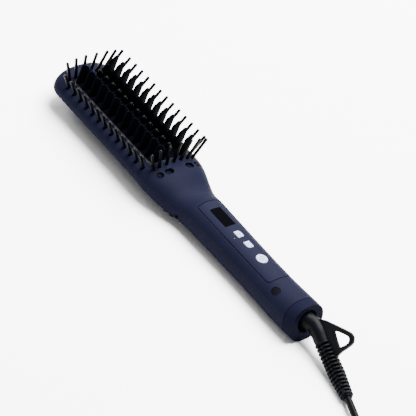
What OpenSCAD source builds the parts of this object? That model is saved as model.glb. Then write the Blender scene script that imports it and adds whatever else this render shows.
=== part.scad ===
// Steam hair straightener brush lying on its back, pins and blades up.
// Worked out in millimetres from the head's tip: x runs from the tip to the
// cord, y across, z from the control panel's plane. place() moves it all so
// that the origin is the middle of the footprint on the table.

/* [Head] */
// length of one outer pin above the bezel
pin_length = 18.4; // [10:0.2:19]
// radius of one outer pin
pin_radius = 0.95; // [0.7:0.05:1.1]
// lean of the outer pins away from the plate, degrees
pin_lean = 32; // [20:1:38]
// pitch of the pins and of the rows of blades
row_pitch = 7.78; // [7.6:0.01:7.8]
// height of the outer blades above the panel's plane
blade_top = 19.3; // [12:0.1:20]
// thickness of one comb blade along the head
blade_thick = 1.8; // [1.4:0.1:2.6]
// height of the steam posts above the panel's plane
post_top = 12; // [8:0.2:13]

/* [Casing] */
// wall thickness of the two casing shells
wall = 2; // [1.6:0.1:2.2]

/* [Controls] */
// how far the two temperature buttons stand above the panel
button_proud = 0.6; // [0.4:0.05:1]
// how far the power button stands above the panel
power_proud = 0.5; // [0.3:0.05:0.8]
// radius of the power button
power_radius = 4.6; // [4:0.1:4.8]

/* [Water] */
// width of the removable water tank
tank_width = 34; // [30:0.5:34]

/* [Cord] */
// diameter of the power cord
cord_diameter = 5.5; // [5:0.1:6]
// diameter of the ribbed strain relief at its root
relief_diameter = 12; // [11:0.1:12.4]

/* [Hidden] */
$fn = 48;
x_mid = 176.31;
z_rest = 26.4;

navy = [0.1, 0.1, 0.2];
black = [0.03, 0.03, 0.04];
steel = [0.6, 0.6, 0.62];

// ---- the casing's outline, along x
split = -9;      // parting plane of the two shells
z_mid = -8.9;    // height of the nose's point
power = 2.3;     // squareness of the cross-section
half_width = [[0, 28.7], [118, 28.7], [124, 28.2], [130, 26.9], [136, 25.1],
  [142, 23.2], [148, 21.2], [154, 19.2], [158, 18.2], [163, 17.8],
  [176, 17.4], [194, 16.9], [212, 16.5], [230, 16.3], [248, 16.6],
  [262, 16.9], [272, 16.8], [278, 16.5], [285, 15.9], [294, 15.5]];
top_line = [[0, 1.6], [110, 1.7], [120, 2.2], [128, 2.4], [134, 1.7],
  [140, 0.1], [146, -1.6], [151, -2.2], [156, -1.7], [160, -0.8],
  [164, -0.1], [170, 0], [248, 0], [256, 0.3], [264, 0.9], [272, 1.7],
  [278, 2.4], [284, 3.1], [294, 3.4]];
back_line = [[0, -19.4], [104, -19.4], [112, -20], [122, -21.8],
  [132, -23.8], [142, -24.9], [152, -25.2], [240, -25.2], [262, -25.5],
  [280, -25.9], [294, -26.1]];
// fullness of the rounded nose at x: 0 at the tip, 1 from r on
function nose(x, r, p, o) = x >= r ? 1
  : pow(1 - pow((r - x) / (r + o), p), 1 / p);
function wide(x, o) = (lookup(x, half_width) + o) * nose(x, 16.5, 2.4, o);
function high(x, o) = z_mid
  + (lookup(x, top_line) + o - z_mid) * nose(x, 8, 2.2, o);
function low(x, o) = z_mid
  + (lookup(x, back_line) - o - z_mid) * nose(x, 9, 2.2, o);
function sp(v) = sign(v) * pow(abs(v), 2 / power);
function section(x, o, n) = [for (i = [0 : n - 1])
  let (t = 360 * i / n, a = wide(x, o), h = high(x, o), l = low(x, o))
  [x, a * sp(cos(t)), (h + l) / 2 + (h - l) / 2 * sp(sin(t))]];
function skin(m, n) = concat(
  [[for (i = [0 : n - 1]) i]],
  [for (j = [0 : m - 2]) for (i = [0 : n - 1])
    [j * n + i, (j + 1) * n + i, (j + 1) * n + (i + 1) % n]],
  [for (j = [0 : m - 2]) for (i = [0 : n - 1])
    [j * n + i, (j + 1) * n + (i + 1) % n, j * n + (i + 1) % n]],
  [[for (i = [n - 1 : -1 : 0]) (m - 1) * n + i]]);
module loft(xs, o, n = 32)
  polyhedron([for (x = xs) for (p = section(x, o, n)) p],
    skin(len(xs), n), convexity = 6);
x_outer = [0.05, 0.5, 1.3, 2.5, 4, 6, 8.5, 11.5, 14.5, 17.5, 62, 110, 118,
  124, 130, 136, 142, 147, 151, 155, 159, 163, 168, 180, 200, 225, 248,
  258, 266, 272, 278, 284, 294];
x_inner = [wall + 0.05, 3, 4.5, 7, 10, 13.5, 17.5, 62, 110, 118, 124, 130,
  136, 142, 147, 151, 155, 159, 163, 168, 180, 200, 225, 248, 258, 266,
  272, 278, 284, 300];

module place() translate([-x_mid, 0, z_rest]) children();
// a shape drawn in x and z, given depth along y
module side(depth) rotate([90, 0, 0])
  linear_extrude(height = depth, center = true) children();
// a shape drawn in y and z, given length from x0 to x1
module along(x0, x1) translate([x0, 0, 0]) rotate([90, 0, 90])
  linear_extrude(height = x1 - x0) children();
module up(z0, z1) translate([0, 0, z0])
  linear_extrude(height = z1 - z0) children();
module block(x0, x1, y0, y1, z0, z1) translate([x0, y0, z0])
  cube([x1 - x0, y1 - y0, z1 - z0]);
module rod_x(x0, x1, y, z, r) translate([x0, y, z]) rotate([0, 90, 0])
  cylinder(h = x1 - x0, r = r);
module rod_z(x, y, z0, z1, r) translate([x, y, z0])
  cylinder(h = z1 - z0, r = r);
// rectangle with round corners
module rr(x0, x1, y0, y1, r) {
  translate([x0 + r, y0]) square([x1 - x0 - 2 * r, y1 - y0]);
  translate([x0, y0 + r]) square([x1 - x0, y1 - y0 - 2 * r]);
  for (x = [x0 + r, x1 - r]) for (y = [y0 + r, y1 - r])
    translate([x, y]) circle(r = r);
}
// the slanted planes at the cord end
cap_z = -9;
seam_x = 277; seam_slope = -0.25;
rear_x = 285.7; rear_slope = -0.2; rear_z = -11.3;
function slant(x0, k, z) = x0 + k * (z - rear_z);
module before_seam(z0, z1) side(90) polygon([[-5, z0],
  [slant(seam_x, seam_slope, z0), z0], [slant(seam_x, seam_slope, z1), z1],
  [-5, z1]]);

// ---- head
plate_x = [19.2, 115.7];
plate_y = 18.05;
module plate_hole(o, z0, z1) up(z0, z1)
  rr(18.6 - o, 116.6 + o, -18.9 - o, 18.9 + o, 3.5);
side_y = 22.8;
side_z = -3;
end_x = [15.2, 120.3];
end_y = [-18.8, -13.4, -6.7, 0, 6.7, 13.4, 18.8];
function end_z(y) = 1.6 - 0.0074 * y * y;
function lean(y) = sign(y) * lookup(abs(y), [[0, 0], [6.7, 12], [13.4, 18.5],
  [18.8, 25.5]]);
end_length = 20;
module side_pin(s, j, r, l) translate([20.7 + row_pitch * j, s * side_y,
  side_z]) rotate([-s * pin_lean, 0, 0]) translate([0, 0, -4.6])
  cylinder(h = l + 4.6, r = r);
module end_pin(x, y, r, l, back) translate([x, y, end_z(y)])
  rotate([-lean(y), 0, 0]) translate([0, 0, -back])
  cylinder(h = l + back, r = r);
module pin_holes() {
  for (s = [-1, 1]) for (j = [0 : 12]) side_pin(s, j, 1.25, 4);
  for (x = end_x) for (y = end_y) end_pin(x, y, 1.25, 5, 5.5);
}

module control_opening(o, z0, z1) up(z0, z1) intersection() {
  rr(150, 248.8 + o, -10.7 - o, 10.7 + o, 3);
  union() {
    translate([163 - o + 40, 0]) circle(r = 40);
    translate([203, -20]) square([60, 40]);
  }
}
screw_x = [127.3, 257.2];
screw_y = [18.1, 10.45];

module front_casing() color(navy) place() {
  difference() {
    union() {
      difference() {
        intersection() { loft(x_outer, 0); before_seam(split, 20); }
        loft(x_inner, -wall, 24);
      }
      for (s = [-1, 1]) {
        rod_z(screw_x[0], s * screw_y[0], split, -2.6, 3.6);
        rod_z(screw_x[1], s * screw_y[1], split, -4.2, 3);
      }
    }
    plate_hole(0.15, -12, 20);
    control_opening(0.1, -6, 5);
    pin_holes();
    for (s = [-1, 1]) {
      rod_z(screw_x[0], s * screw_y[0], -12, 5, 1.55);
      rod_z(screw_x[0], s * screw_y[0], -4.2, 5, 2.55);
      rod_z(screw_x[1], s * screw_y[1], -12, -4, 1.55);
      for (d = [-1.3, 1.3]) rod_z(127.6, s * 10 + d * 0.9, 1.3, 5, 2.7);
    }
    translate([screw_x[1], -screw_y[1], -2.1]) rotate([26.5, 0, 0])
      translate([0, 0, -1.3]) cylinder(h = 4, r = 3.6);
    rod_z(screw_x[1], -screw_y[1], -6.8, -2.5, 2.55);
  }
}

tank_x = [20, 137];
module rear_casing() color(navy) place() {
  w = tank_width / 2 + 0.3;
  difference() {
    union() {
      difference() {
        intersection() { loft(x_outer, 0); before_seam(-30, split); }
        loft(x_inner, -wall, 24);
      }
      // bay of the water tank
      block(18, 139, -w - 1.7, w + 1.7, -13.8, -12.2);
      for (s = [-1, 1]) block(18, 139, s > 0 ? w - 0.3 : -w - 1.7,
        s > 0 ? w + 1.7 : -w + 0.3, -17, -12.2);
      block(18, 20.2, -w, w, -18.6, -12.2);
      block(136.8, 139, -w, w, -20.6, -12.2);
      block(159.2, 161, -5, 5, -24.2, -17);
      rod_z(128, -9, -18, -9.8, 2.5);
      for (s = [-1, 1]) {
        rod_z(screw_x[0], s * (screw_y[0] + 1.4), -20.6, split, 3);
        rod_z(screw_x[1], s * screw_y[1], -21.5, split, 3);
      }
    }
    block(tank_x[0] - 0.3, tank_x[1] + 0.3, -w, w, -30, -13.8);
    block(139.5, 157, -19.3, 19.3, -30, -15.2);
    rod_z(128, -9, -19, -8, 1.2);
    for (s = [-1, 1]) {
      rod_z(screw_x[0], s * screw_y[0], -13.6, -8, 1.25);
      rod_z(screw_x[1], s * screw_y[1], -17.5, -8, 1.25);
    }
  }
  // the spigot that enters the tank's valve
  difference() {
    rod_z(128, -9, -18, -9.8, 2.5);
    rod_z(128, -9, -19, -8, 1.2);
  }
}

module casing_screws() color(steel) place()
  for (i = [0, 1]) for (s = [-1, 1]) {
    zt = i == 0 ? -2.2 : -5.2;
    rod_z(screw_x[i], s * screw_y[i], i == 0 ? -13.4 : -16.5, zt - 1, 1.2);
    if (i == 0 || s < 0) rod_z(screw_x[i], s * screw_y[i], zt - 1.6, zt, 2.4);
  }

module screw_covers() color(black) place() {
  for (s = [-1, 1]) rod_z(screw_x[0], s * screw_y[0], -2, -0.9, 2.5);
  translate([screw_x[1], -screw_y[1], -2.1]) rotate([26.5, 0, 0])
    translate([0, 0, -1.2]) cylinder(h = 1.1, r = 3.5);
}

module end_cap() color(navy) place() difference() {
  intersection() {
    loft([268, 272, 278, 284, 294], 0);
    side(90) polygon([[slant(seam_x + 0.35, seam_slope, -30), -30],
      [slant(rear_x, rear_slope, -30), -30],
      [slant(rear_x, rear_slope, 10), 10],
      [slant(seam_x + 0.35, seam_slope, 10), 10]]);
  }
  rod_x(268, 281, 0, cap_z, 9);
  rod_x(268, 300, 0, cap_z, 7.5);
  translate([280.6, 0, cap_z]) rotate([0, 90, 0])
    cylinder(h = 8, r1 = 7.5, r2 = 9.2);
}

// ---- comb plate
module blade(x, s) translate([x - blade_thick / 2, 0, 0])
  rotate([90, 0, 90]) linear_extrude(height = blade_thick)
  polygon([for (p = [[6, 0.3], [6.05, -10.6], [6.7, -7.7], [7.9, -6.3],
    [9, -6.1], [10, -6.5], [10.6, -7.3], [10.7, -5.2], [11.3, -3.4],
    [12.2, -2.4], [13, -2.3], [13.4, -2], [13.9, -1.2], [14.9, -0.2],
    [16.1, 0], [17.2, -0.4], [17.85, -1.6], [18, -3.2], [18, 0.3]])
    [s * p[0], p[1] > 0 ? p[1] : p[1] == 0 ? blade_top : blade_top + p[1]]]);
module heater_plate() color(black) place() difference() {
  union() {
    difference() {
      up(-1.4, 0.5) rr(plate_x[0], plate_x[1], -plate_y, plate_y, 2.8);
      for (i = [0 : 11]) rod_z(24.4 + row_pitch * i, 0, -3, 3, 2.15);
    }
    for (k = [0 : 12]) for (s = [-1, 1]) blade(21.3 + row_pitch * k, s);
  }
  up(-2, 1.2) difference() {
    translate([10, -22]) square([115, 44]);
    rr(plate_x[0], plate_x[1], -plate_y, plate_y, 2.8);
  }
}
module plate_frame() color(black) place() difference() {
  plate_hole(0, -5, 1);
  up(-6, 3) rr(plate_x[0] - 0.08, plate_x[1] + 0.08, -plate_y - 0.08,
    plate_y + 0.08, 2.8);
}
module steam_nozzles() color(black) place() difference() {
  union() {
    block(20.2, 115.2, -3, 3, -4, -1.5);
    for (i = [0 : 11]) {
      rod_z(24.4 + row_pitch * i, 0, -2, post_top - 2.1, 2.1);
      translate([24.4 + row_pitch * i, 0, post_top - 2.1]) sphere(r = 2.1);
    }
  }
  for (i = [0 : 11]) rod_z(24.4 + row_pitch * i, 0, -5, post_top - 3.4, 0.9);
  for (i = [0 : 11]) rod_x(21.7 + row_pitch * i, 27.1 + row_pitch * i, 0,
    post_top - 4.2, 0.45);
}
module side_bristles(s) color(black) place() {
  block(17.5, 117.8, s > 0 ? 19.4 : -21.8, s > 0 ? 21.8 : -19.4, -7.6, -6.4);
  for (j = [0 : 12]) {
    side_pin(s, j, pin_radius, pin_length - pin_radius);
    translate([20.7 + row_pitch * j, s * side_y, side_z])
      rotate([-s * pin_lean, 0, 0])
      translate([0, 0, pin_length - pin_radius]) sphere(r = pin_radius);
  }
}
module bristles_left() side_bristles(-1);
module bristles_right() side_bristles(1);
module end_bristles(x) color(black) place() {
  block(x - 1.4, x + 1.4, -19.4, 19.4, -5, -3.8);
  for (y = end_y) {
    end_pin(x, y, pin_radius, end_length - pin_radius, end_z(y) + 4.4);
    translate([x, y, end_z(y)]) rotate([-lean(y), 0, 0])
      translate([0, 0, end_length - pin_radius]) sphere(r = pin_radius);
  }
}
module bristles_tip() end_bristles(end_x[0]);
module bristles_neck() end_bristles(end_x[1]);

// ---- inside the head
module steam_chamber() color(steel) place() difference() {
  union() {
    block(20, 110, -15, 15, -9.6, -4.1);
    rod_x(109, 115, 0, -7, 1.1);
  }
  block(21.2, 108.8, -13.8, 13.8, -8.6, -5.3);
  block(24, 108, -1.6, 1.6, -6, -3);
  rod_x(107, 117, 0, -7, 0.6);
}
module heater_element() color([0.7, 0.7, 0.68]) place()
  for (s = [-1, 1]) block(28, 104, s > 0 ? 4 : -14, s > 0 ? 14 : -4,
    -3.9, -1.5);
module heat_shield() color(steel) place() {
  block(16, 112, -17.2, 17.2, -11, -10.5);
  for (s = [-1, 1]) block(16, 112, s > 0 ? 16.7 : -17.2,
    s > 0 ? 17.2 : -16.7, -11, -5.4);
}
module thermal_fuse() color([0.85, 0.85, 0.8]) place() {
  rod_x(123.4, 132, 8, -7, 1.8);
  rod_x(122.6, 135, 8, -7, 0.4);
}
module temperature_sensor() color([0.5, 0.3, 0.1]) place() {
  translate([112.5, -6, -6.5]) sphere(r = 1.3);
  rod_x(112.5, 128, -6.5, -6.5, 0.5);
}

// ---- water
module tank_shape(w, z0, z1, r) intersection() {
  union() {
    translate([-w + r, z0]) square([2 * (w - r), z1 - z0]);
    translate([-w, z0 + r]) square([2 * w, z1 - z0 - r]);
    for (s = [-1, 1]) translate([s * (w - r), z0 + r]) circle(r = r);
  }
  translate([-w, z0]) square([2 * w, z1 - z0]);
}
module water_tank() color([0.15, 0.16, 0.25]) place() {
  w = tank_width / 2;
  difference() {
    intersection() {
      along(tank_x[0], tank_x[1]) tank_shape(w, -26.4, -14.2, 8);
      up(-30, -10) rr(tank_x[0], tank_x[1], -w, w, 7);
    }
    along(tank_x[0] + 1.6, tank_x[1] - 1.6)
      tank_shape(w - 1.6, -24.8, -15.8, 6.4);
    rod_z(128, -9, -20, -10, 4.2);
    rod_z(60, 0, -30, -20, 6);
    rod_z(60, 0, -30, -25.6, 7.2);
  }
}
module tank_seal() color([0.1, 0.1, 0.1]) place() difference() {
  union() {
    rod_z(128, -9, -18.6, -14.4, 4.2);
  }
  rod_z(128, -9, -20, -10, 2.58);
}
module filler_plug() color([0.1, 0.1, 0.1]) place() difference() {
  union() {
    rod_z(60, 0, -26.2, -25.7, 7);
    rod_z(60, 0, -26, -22.6, 5.93);
  }
  rod_z(60, 0, -25, -20, 4.4);
  block(50, 70, -0.9, 0.9, -27, -25.9);
}
module tank_latch() color(navy) place() {
  difference() {
    intersection() {
      union() {
        loft([139.8, 142, 147, 151, 153.6], -0.1);
        loft([142.3, 143.1, 143.9], 0.75);
        loft([148.3, 149.1, 149.9], 0.75);
      }
      block(130, 160, -19, 19, -26.3, -15.5);
    }
    loft([138, 142, 147, 151, 156], -wall + 0.1, 24);
  }
  block(137.5, 142, -7, 7, -22, -21);
  block(141, 144, -8, 8, -24.2, -21);
  block(150.6, 153.4, -6, 6, -24.6, -18.6);
}
module latch_spring() color(steel) place() for (i = [0 : 5])
  translate([154.1 + i * 0.9, 0, -20.4]) rotate([0, 90, 0]) {
    rotate_extrude() translate([2.2, 0]) circle(r = 0.35, $fn = 16);
    if (i < 5) translate([2.2, 0, 0]) cylinder(h = 0.9, r = 0.3, $fn = 16);
  }
// tube along a route of points
function unit(v) = v / norm(v);
function go(p, i) = unit(p[min(i + 1, len(p) - 1)] - p[max(i - 1, 0)]);
function hoop(c, d, r, n) = let (s = unit(cross(d, [0, 0, 1])),
  u = cross(s, d)) [for (i = [0 : n - 1])
  c + r * (cos(360 * i / n) * s + sin(360 * i / n) * u)];
module tube(p, r, n) polyhedron(
  [for (i = [0 : len(p) - 1]) for (q = hoop(p[i], go(p, i), r, n)) q],
  skin(len(p), n), convexity = 4);
module water_pump() color([0.3, 0.3, 0.32]) place() {
  rod_x(216, 244, 0, -17.2, 5.4);
  block(222, 240, -5.6, 5.6, -22.6, -17);
  for (s = [-1, 1]) rod_x(211, 217, s * 3, -17.2, 0.9);
}
module hose(p) difference() { tube(p, 1.6, 12); tube(p, 0.95, 12); }
module inlet_hose() color([0.8, 0.8, 0.75]) place()
  tube([[130.6, -9, -10.6], [140, -9, -10.4], [150, -8.5, -11.4],
    [165, -7, -14], [180, -5, -16.4], [196, -3.4, -17.2], [204, -3, -17.2],
    [210.9, -3, -17.2]], 1.5, 10);
module outlet_hose() color([0.8, 0.8, 0.75]) place()
  tube([[115.1, 0, -7], [121, 1, -7.1], [130, 3, -8.4], [139, 4, -9.8],
    [150, 4, -12], [165, 3.8, -14.8], [180, 3.4, -16.6], [196, 3, -17.2],
    [204, 3, -17.2], [210.9, 3, -17.2]], 1.5, 10);

// ---- controls
module pad(o, s) rotate([0, 0, s > 0 ? 0 : 180]) {
  intersection() {
    translate([3.3 - 3.3, 0]) circle(r = 3.2 + o);
    translate([-9, -9]) square([9.2, 18]);
  }
  translate([0, -3.2 - o]) square([2.4 + o, 6.4 + 2 * o]);
  translate([2, -2.4 - o]) square([1.2 + o, 4.8 + 2 * o]);
  for (t = [-1, 1]) translate([2.4, t * 2.4]) circle(r = 0.8 + o);
}
pad_x = [199.9, 211.5];
module control_panel() color([0.2, 0.2, 0.32]) place() difference() {
  intersection() {
    loft([158, 163, 168, 180, 200, 225, 248, 256], 0);
    control_opening(-0.1, -8, 5);
  }
  loft([150, 155, 159, 163, 168, 180, 200, 225, 248, 258], -wall, 24);
  up(-8, 5) rr(171.2, 190.6, -5.1, 5.1, 0.9);
  for (i = [0, 1]) translate([pad_x[i], 0, 0]) up(-8, 5)
    pad(0.3, i == 0 ? 1 : -1);
  rod_z(227.56, 0, -8, 5, power_radius + 0.3);
  rod_z(202.6, -6.2, -8, 5, 0.75);
}
module display_window() color(black) place()
  up(-1.7, 0.08) rr(171.3, 190.5, -5, 5, 0.8);
module one_button(i) color([0.85, 0.87, 0.97]) place()
  translate([pad_x[i], 0, 0]) {
    up(-3, button_proud) pad(0, i == 0 ? 1 : -1);
    block(-3.9, 3.9, -4, 4, -3.6, -2.9);
    rod_z(0, 0, -5, -3.4, 1.2);
  }
module button_up() one_button(0);
module button_down() one_button(1);
module power_button() color([0.85, 0.87, 0.97]) place() {
  rod_z(227.56, 0, -3, power_proud, power_radius);
  rod_z(227.56, 0, -3.6, -2.9, power_radius + 0.9);
  rod_z(227.56, 0, -5, -3.4, 1.2);
}
module status_lens() color([0.9, 0.9, 0.9]) place()
  rod_z(202.6, -6.2, -5, -0.5, 0.7);
module control_board() color([0.05, 0.25, 0.1]) place() {
  block(168, 246, -11.5, 11.5, -10.7, -9.2);
  rod_x(238, 245, 7, -6.5, 2.6);
  block(180, 192, 6.8, 10.8, -9.3, -7);
  block(216, 222, -10.5, -7, -9.3, -7.4);
}
module tact_switches() color(black) place()
  for (x = [pad_x[0], pad_x[1], 227.56]) {
    block(x - 3, x + 3, -3, 3, -9.2, -6.4);
    rod_z(x, 0, -6.5, -5.6, 1.7);
  }
module display_module() color([0.1, 0.1, 0.1]) place()
  block(172, 190, -5.6, 5.6, -9.2, -2.8);

// ---- cord end
module swivel_socket() color(black) place() difference() {
  union() {
    rod_x(262, 280, 0, cap_z, 7.4);
    block(263, 270, -6, 6, -23, cap_z);
  }
  rod_x(266, 282, 0, cap_z, 5.6);
  rod_x(260, 270, 0, cap_z, 2);
}
module contact_rings() color([0.8, 0.6, 0.3]) place()
  for (x = [267.4, 270.2]) difference() {
    rod_x(x, x + 1.4, 0, cap_z, 5.55);
    rod_x(x - 1, x + 3, 0, cap_z, 4.8);
  }
// the root turns in the socket, rises a little and bends down
bend = [292, 1.2, -8.4];
root = [305.5, -0.5, -12.7];
module leg(a, b, r) translate(a)
  rotate([0, acos((b - a)[2] / norm(b - a)), atan2((b - a)[1], (b - a)[0])])
  cylinder(h = norm(b - a), r = r);
module elbow_shape() {
  rod_x(266.6, 283, 0, cap_z, 4.6);
  rod_x(273, 275.6, 0, cap_z, 5.5);
  translate([284.6, 0, cap_z]) sphere(r = 6.6);
  leg([284.6, 0, cap_z], bend, 6.2);
  translate(bend) sphere(r = 6.2);
  leg(bend, root, 5.7);
}
module cord_elbow() color([0.08, 0.08, 0.1]) place() elbow_shape();
module hang_loop() color([0.08, 0.08, 0.1]) place() difference() {
  translate([285.7, 0, -11.6]) rotate([-22, 0, 0]) side(3.6) difference() {
    polygon([[5.2, 4], [5.4, 10.6], [21.9, 16.6], [31.5, 20],
      [34.4, 20.2], [36.8, 19.2], [38.4, 17.2], [39.4, 14.4], [35.6, 2.8],
      [36, 0.4], [33, -2], [18, 1.5]]);
    polygon([[21.5, 11.5], [32.2, 5.8], [33, 6.1], [36, 12.3],
      [36, 14.6], [34.6, 16.6], [32.6, 16.9], [21.7, 12.6]]);
  }
  elbow_shape();
  relief_shape();
}
// strain relief: a core with separate rings, sinking toward the table
relief_long = 48;
rings = 15;
from = [0.94, -0.128, -0.317];
onto = [0.935, -0.355, 0];
function relief_dir(s) = unit(from + (onto - from) * min(1, s / relief_long));
function relief_at(k) = k <= 0 ? root
  : relief_at(k - 1) + relief_dir(3.2 * k - 1.6) * 3.2;
function relief_r(k) = relief_diameter / 2 - max(0, k - 8) * 0.22;
module facing(d) rotate([0, acos(d[2]), atan2(d[1], d[0])]) children();
module relief_shape() for (k = [0 : rings - 1]) translate(relief_at(k))
  facing(relief_dir(3.2 * k + 1.6)) {
    cylinder(h = 2.2, r = relief_r(k));
    cylinder(h = k < rings - 1 ? 3.5 : 3.2, r = 4.3);
  }
module strain_relief() color([0.08, 0.08, 0.1]) place() relief_shape();
// the cord leaves the relief, settles on the table and runs into a coil
cord_z = cord_diameter / 2 - z_rest;
out = relief_at(rings);
coil = [437, -2.8];
coil_low = -z_rest;
turn_r = 38.5;
cord_route = [out, [362, -16.3, -21], [372, -20, -21.9],
  [384, -24.6, -23], [397, -29.3, cord_z], [409, -33.8, cord_z],
  [418, -37.2, cord_z], [426, -39.8, cord_z], [433, -41.3, cord_z]];
module power_cord() color(black) place()
  tube(cord_route, cord_diameter / 2, 12);
module cord_coil() color(black) place()
  translate([coil[0], coil[1], coil_low]) rotate_extrude($fn = 96)
  polygon([[24.8, 2.2], [25.6, 0.6], [27.4, 0], [39, 0], [40.6, 0.6],
    [41.4, 2.4], [41.4, 14], [40.6, 15.8], [39, 16.5], [27.4, 16.5],
    [25.6, 15.8], [24.8, 14]]);
// the last turn rises over the coil and enters the plug that lies on it
tail_bend = 25;
tail_back = turn_r - tail_bend;
function rise(t) = let (q = max(0, min(1, t))) q * q * (3 - 2 * q);
tail_route = concat([for (b = [-40 : 20 : -20])
    [coil[0] - turn_r * cos(b), coil[1] - turn_r * sin(b),
      -12.65 + 9.65 * rise((b + 40) / 150)]],
  [for (b = [0 : 15 : 90])
    [coil[0] - tail_back - tail_bend * cos(b),
      coil[1] - tail_bend * sin(b), -12.65 + 9.65 * rise((b + 40) / 150)]],
  [[coil[0] - tail_back + 6, coil[1] - tail_bend, -3],
    [coil[0] - tail_back + 9, coil[1] - tail_bend, -3]]);
plug_at = [coil[0] - tail_back + 5.5, coil[1] - tail_bend, -2.95];
module cord_tail() color(black) place()
  tube(tail_route, cord_diameter / 2, 12);
module plug() color(black) place() translate(plug_at)
  rotate([-90, 0, -90]) difference() {
    union() {
      linear_extrude(height = 11.7) rr(-5, 5, -5, 5, 3);
      translate([0, 0, 11.7]) linear_extrude(height = 6)
        rr(-9, 9, -6.4, 6.4, 4);
      translate([0, 0, 17.7]) linear_extrude(height = 20)
        rr(-13, 13, -6.9, 6.9, 5);
    }
    translate([0, 0, -1]) cylinder(h = 5, r = cord_diameter / 2 + 0.1);
    for (s = [-1, 1]) translate([s * 9.5, 0, 28]) cylinder(h = 12, r = 2);
  }
module plug_pins() color(steel) place() translate(plug_at)
  rotate([-90, 0, -90]) for (s = [-1, 1]) translate([s * 9.5, 0, 0]) {
    translate([0, 0, 28]) cylinder(h = 26, r = 2);
    translate([0, 0, 54]) cylinder(h = 1.6, r1 = 2, r2 = 1);
  }

front_casing();
rear_casing();
end_cap();
control_panel();
display_window();
screw_covers();
casing_screws();
heater_plate();
plate_frame();
steam_nozzles();
bristles_left();
bristles_right();
bristles_tip();
bristles_neck();
steam_chamber();
heater_element();
heat_shield();
thermal_fuse();
temperature_sensor();
water_tank();
tank_seal();
filler_plug();
tank_latch();
latch_spring();
water_pump();
inlet_hose();
outlet_hose();
button_up();
button_down();
power_button();
tact_switches();
control_board();
display_module();
status_lens();
swivel_socket();
contact_rings();
cord_elbow();
hang_loop();
strain_relief();
power_cord();
cord_coil();
cord_tail();
plug();
plug_pins();
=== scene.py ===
import math

import bmesh
import bpy
import numpy as np
from mathutils import Matrix, Vector


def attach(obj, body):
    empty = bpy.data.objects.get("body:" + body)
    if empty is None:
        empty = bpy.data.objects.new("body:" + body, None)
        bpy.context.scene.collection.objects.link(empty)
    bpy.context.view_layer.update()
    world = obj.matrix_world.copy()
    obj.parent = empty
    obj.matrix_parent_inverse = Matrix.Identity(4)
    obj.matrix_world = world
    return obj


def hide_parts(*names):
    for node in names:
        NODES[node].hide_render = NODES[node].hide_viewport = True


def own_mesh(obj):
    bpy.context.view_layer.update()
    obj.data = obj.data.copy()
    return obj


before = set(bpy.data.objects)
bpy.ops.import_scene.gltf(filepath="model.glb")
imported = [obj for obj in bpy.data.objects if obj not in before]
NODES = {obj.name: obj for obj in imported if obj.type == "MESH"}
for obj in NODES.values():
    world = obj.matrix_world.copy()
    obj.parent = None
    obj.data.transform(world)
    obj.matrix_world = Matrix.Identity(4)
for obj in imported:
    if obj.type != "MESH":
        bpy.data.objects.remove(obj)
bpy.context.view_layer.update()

# Everything below is worked out in the millimetres of part.scad (x from the
# head's tip, y across, z from the panel's plane) and turned into the row
# frame's metres when a mesh is made.
X_MID, Z_REST = 176.31, 26.4


def row(p):
    return ((p[0] - X_MID) / 1000, p[1] / 1000, (p[2] + Z_REST) / 1000)


def scene_link(o):
    bpy.context.scene.collection.objects.link(o)
    return o


# ------------------------------------------------------------------ camera
cam = bpy.data.cameras.new("camera")
cam.lens, cam.sensor_width = 271.9, 36
cam.clip_start, cam.clip_end = 0.1, 20
camera = scene_link(bpy.data.objects.new("camera", cam))
R = Vector((0.6060, 0.7357, 0.3024))
F = Vector((-0.4612, 0.6347, -0.6200)).normalized()
R = (R - F * R.dot(F)).normalized()
U = R.cross(F)
camera.matrix_world = Matrix.Translation((1.05253, -1.46330, 1.45091)) @ Matrix(
    ((R.x, U.x, -F.x, 0), (R.y, U.y, -F.y, 0), (R.z, U.z, -F.z, 0), (0, 0, 0, 1))
)
bpy.context.scene.camera = camera


# --------------------------------------------------------------- materials
def nodes_of(name):
    m = bpy.data.materials.new(name)
    m.use_nodes = True
    t = m.node_tree
    return m, t.nodes, t.links, t.nodes["Principled BSDF"]


DARK, GLOSS = 1.0, 1.0


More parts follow.
